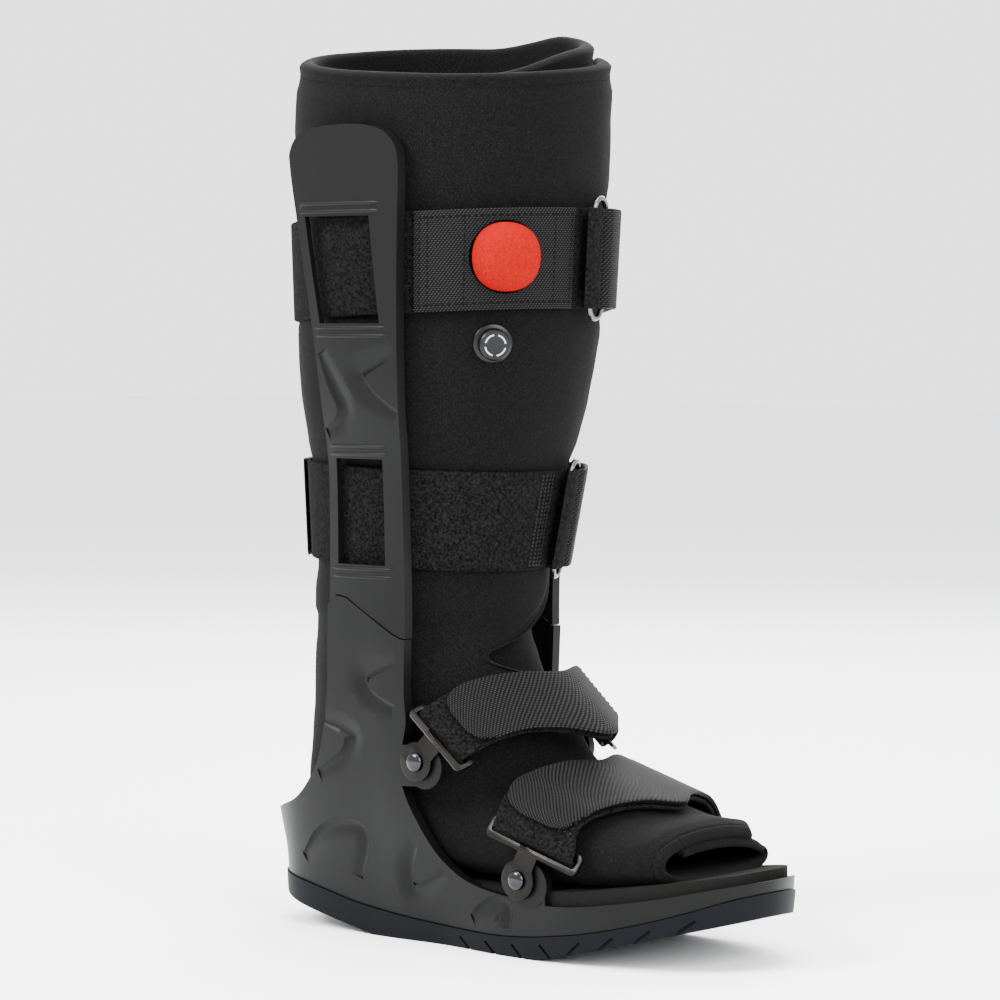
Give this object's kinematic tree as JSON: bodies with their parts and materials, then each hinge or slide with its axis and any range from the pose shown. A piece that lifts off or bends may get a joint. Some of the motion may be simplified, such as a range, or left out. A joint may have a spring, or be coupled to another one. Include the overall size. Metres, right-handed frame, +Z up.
{
  "type": "medical walking boot",
  "caption": "Tall medical walking boot: rocker sole, hard shell, side uprights and a padded wrap liner closed by hook straps, with an air pump bulb and release valve.",
  "frame": {"origin": "on the floor, in the middle of the sole's flat face", "axes": "+X to the toes, +Y to the wearer's left side, +Z up along the leg"},
  "size_m": [0.291, 0.1573, 0.435],
  "materials": {
    "rubber_sole": "ground",
    "shell_plastic": "satin",
    "footbed_foam": "matt",
    "neoprene": "matt",
    "loop_cloth": "matt",
    "webbing": "matt",
    "ring_wire": "satin",
    "bulb_rubber": "matt",
    "valve_plastic": "gloss",
    "plate_steel": "satin",
    "rivet_steel": "polished"
  },
  "bodies": {
    "boot": {"outsole": "rubber_sole", "shell": "shell_plastic", "footbed": "footbed_foam", "liner": "neoprene", "upright_right": "shell_plastic", "upright_left": "shell_plastic", "calf_strap_lower": "loop_cloth", "calf_tab_lower": "webbing", "calf_ring_lower": "ring_wire", "calf_strap_upper": "loop_cloth", "calf_tab_upper": "webbing", "calf_ring_upper": "ring_wire", "pump_panel": "webbing", "pump_bulb": "bulb_rubber", "valve_base": "valve_plastic", "ankle_strap": "loop_cloth", "ankle_tab": "webbing", "ankle_plate_right": "plate_steel", "ankle_plate_left": "plate_steel", "ankle_rivet_right": "rivet_steel", "ankle_rivet_left": "rivet_steel", "forefoot_strap": "loop_cloth", "forefoot_tab": "webbing", "forefoot_plate_right": "plate_steel", "forefoot_plate_left": "plate_steel", "forefoot_rivet_right": "rivet_steel", "forefoot_rivet_left": "rivet_steel"},
    "knob": {"valve_knob": "valve_plastic"}
  },
  "joints": [
    {"name": "valve_turn", "type": "hinge", "parent": "boot", "child": "knob", "pos_m": [0.01343, -0.04276, 0.28679], "axis": [0.7655, -0.6295, -0.1336], "range_deg": [0, 90]}
  ]
}
